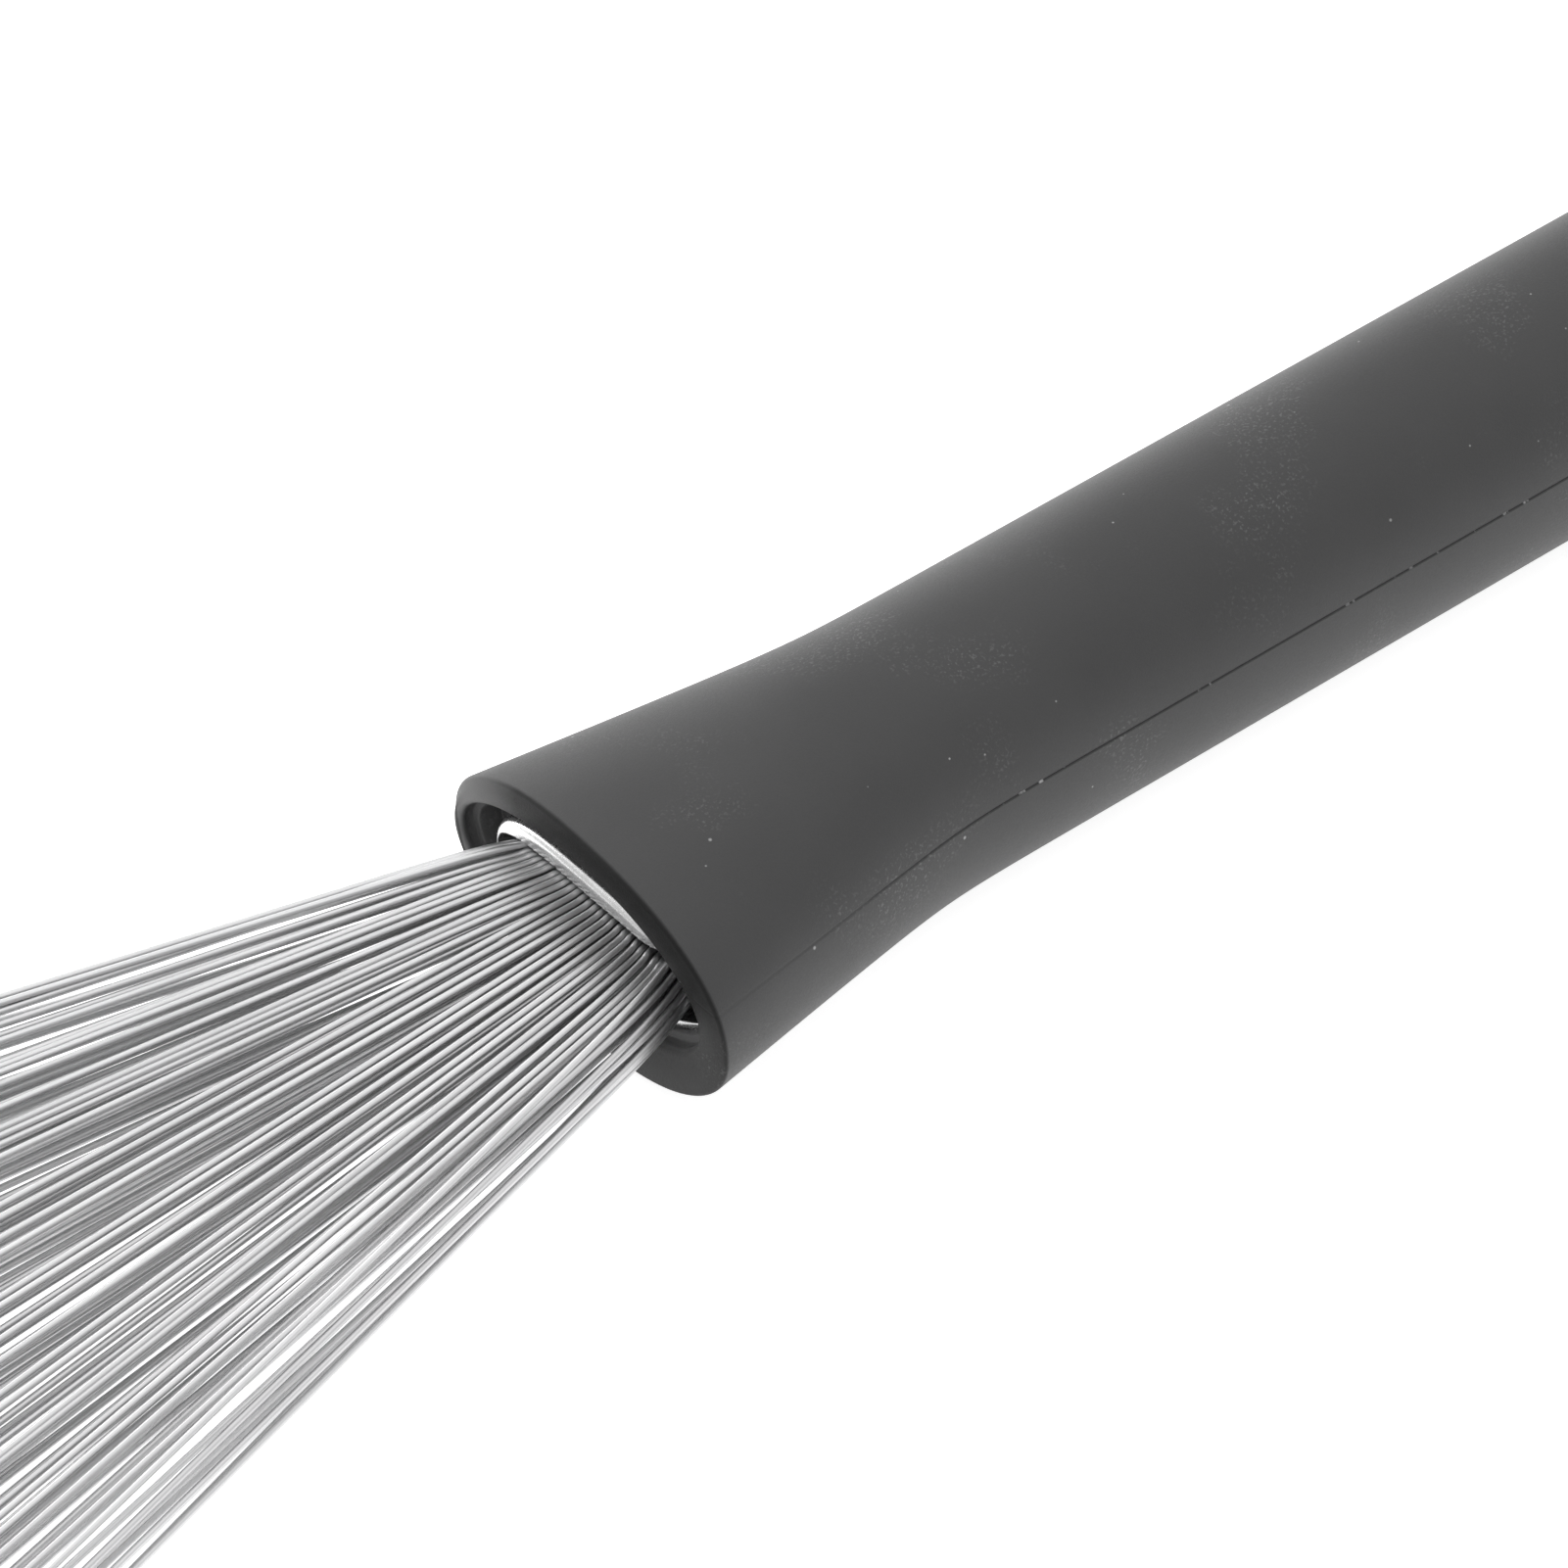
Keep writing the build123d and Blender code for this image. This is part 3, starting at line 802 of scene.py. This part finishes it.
def make_knob():
    """A turned knob: a neck, a waist for the fingertips and a ball end, bored for the rod and its insert."""
    low, high = (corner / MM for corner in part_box("pull_knob"))
    insert_low, insert_high = (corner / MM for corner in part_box("knob_insert"))
    neck, waist, ball = 4.0, 3.2, high.z
    waist_x, neck_x = high.x - 3.5, high.x - 0.4
    ball_x = low.x + ball
    flank_steps, neck_steps, segments = 14, 6, 128
    turns = [radians(degrees) for degrees in (1.5, *range(6, 91, 6))]
    profile = [(low.x + ball * (1 - cos(turn)), ball * sin(turn)) for turn in turns]
    for index in range(1, flank_steps + 1):
        share = index / flank_steps
        profile.append((ball_x + (waist_x - ball_x) * share, ball + (waist - ball) * smooth(share)))
    for index in range(1, neck_steps + 1):
        share = index / neck_steps
        profile.append((waist_x + (neck_x - waist_x) * share, waist + (neck - waist) * share**2))
    profile += corner_arc((high.x, neck), (high.x - 1, neck), (high.x, 0), 0.3)
    profile += [(high.x, rod_radius), (insert_high.x, rod_radius), (insert_high.x, insert_high.z)]
    profile += [(insert_low.x, insert_high.z), (insert_low.x, 0.1)]
    rings = [circle_ring(x, radius, segments) for x, radius in profile]
    points = [point for ring in rings for point in ring]
    faces = skin(rings, closed=False)
    faces.append(tuple(range(segments - 1, -1, -1)))
    faces.append(tuple(range(len(points) - segments, len(points))))
    return mesh_from("knob", points, faces)


# ---------------------------------------------------------------- pieces
finish_mesh("rubber_sleeve", make_sleeve(), "handle", ["rubber_handle"],
            paints["sleeve_rubber"], 50)
finish_mesh("flattened_tube", make_tube(), "handle", ["inner_tube"], paints["tube_metal"])
finish_mesh("turned_cap", make_end_cap(), "handle", ["end_cap"], paints["cap_metal"])
finish_mesh("stop_washer", make_knob_bumper(), "brush_head", ["knob_bumper"],
            paints["bumper_rubber"])
finish_mesh("ball_knob", make_knob(), "brush_head", ["pull_knob"], paints["knob_plastic"])

wire_groups = {
    "wires_upper": layer_of_wires("wires_upper", 2 * levels_in_layer, random.Random(11)),
    "wires_middle": layer_of_wires("wires_middle", levels_in_layer, random.Random(12)),
    "wires_lower": layer_of_wires("wires_lower", 0, random.Random(13)),
    "wires_left_edge": edge_of_wires(1, wire_columns - 1, random.Random(14)),
    "wires_right_edge": edge_of_wires(-1, 0, random.Random(15)),
}
for node, wires in wire_groups.items():
    piece_name = node.replace("wires", "spring_wires")
    piece = finish_mesh(
        piece_name, make_wire_mesh(piece_name, wires), "brush_head", [node],
        paints["wire_steel"], 60)
    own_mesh(piece)

# ---------------------------------------------------------------- table, lights, camera
table_half_size = 1.5          # metres, like the sizes and places of the lights
table_glow = 0.8               # a light table, so that shadows stay faint
dim_side = (0.85, 0.5, 0.0)    # the surroundings are dimmer on this side
dim_range = (-0.3, 0.9)        # from brightest to dimmest, by a direction's dot product with dim_side
world_strengths = (0.98, 0.35)


def make_table():
    """A flat white light table under the brush."""
    paint = Paint("white_table", (0.75, 0.75, 0.75), 0.7)
    cloud = paint.noise(60.0, detail=3)
    paint.link("Base Color", paint.mix(cloud, (0.74, 0.74, 0.74), (0.76, 0.76, 0.76)))
    paint.shader.inputs["Emission Color"].default_value = (1, 1, 1, 1)
    paint.shader.inputs["Emission Strength"].default_value = table_glow
    paint.bump(paint.noise(0.5, detail=3), 0.01, 0.3)
    corners = [(-1, -1), (1, -1), (1, 1), (-1, 1)]
    points = [(table_half_size * a, table_half_size * b, floor_z) for a, b in corners]
    mesh = mesh_from("table", points, [(0, 1, 2, 3)])
    mesh.materials.append(paint.material)
    table = bpy.data.objects.new("table", mesh)
    bpy.context.scene.collection.objects.link(table)


def add_softbox(name, place, target, width, height, power):
    light = bpy.data.lights.new(name, "AREA")
    light.shape = "RECTANGLE"
    light.size, light.size_y, light.energy = width, height, power
    box = bpy.data.objects.new(name, light)
    box.location = place
    box.rotation_euler = (Vector(target) - Vector(place)).to_track_quat("-Z", "Y").to_euler()
    bpy.context.scene.collection.objects.link(box)


def add_camera():
    """The camera stands level at the viewing angle, with the mouth a little left of and below its axis."""
    azimuth, elevation = radians(141.49), radians(45.36)
    distance, mouth_left_of_axis, mouth_below_axis = 355.3, 9.107, 6.888
    lens, sensor = 179.1, 36.0
    back = Vector((sin(azimuth) * cos(elevation), -cos(azimuth) * cos(elevation), sin(elevation)))
    right = Vector((cos(azimuth), sin(azimuth), 0))
    up = back.cross(right)
    mouth = Vector((mouth_x, 0, 0))
    camera = bpy.data.cameras.new("camera")
    camera.lens, camera.sensor_width = lens, sensor
    camera.clip_start, camera.clip_end = 0.01, 20
    holder = bpy.data.objects.new("camera", camera)
    turn = Matrix((right, up, back)).transposed().to_4x4()
    place = (mouth + right * mouth_left_of_axis + up * mouth_below_axis + back * distance) * MM
    holder.matrix_world = Matrix.Translation(place) @ turn
    bpy.context.scene.collection.objects.link(holder)
    bpy.context.scene.camera = holder


def make_world():
    """Even white surroundings, dimmer towards the mouth's +Y side."""
    world = bpy.data.worlds.new("studio")
    world.use_nodes = True
    tree = world.node_tree
    towards = tree.nodes.new("ShaderNodeTexCoord")
    along = tree.nodes.new("ShaderNodeVectorMath")
    along.operation = "DOT_PRODUCT"
    along.inputs[1].default_value = dim_side
    dim = tree.nodes.new("ShaderNodeMapRange")
    for socket, value in enumerate((*dim_range, *world_strengths), start=1):
        dim.inputs[socket].default_value = value
    background = tree.nodes["Background"]
    background.inputs["Color"].default_value = (1, 1, 1, 1)
    tree.links.new(towards.outputs["Generated"], along.inputs[0])
    tree.links.new(along.outputs["Value"], dim.inputs[0])
    tree.links.new(dim.outputs[0], background.inputs["Strength"])
    bpy.context.scene.world = world


make_table()
mouth = Vector((mouth_x * MM, 0, 0))
add_softbox("overhead", mouth + Vector((0.0, 0.0, 1.1)), mouth, 1.6, 1.6, 5.0)
add_softbox("side", mouth + Vector((0.1, -0.8, 0.28)), mouth, 0.9, 0.35, 3.2)
add_camera()
make_world()
bpy.context.scene.view_settings.view_transform = "Standard"
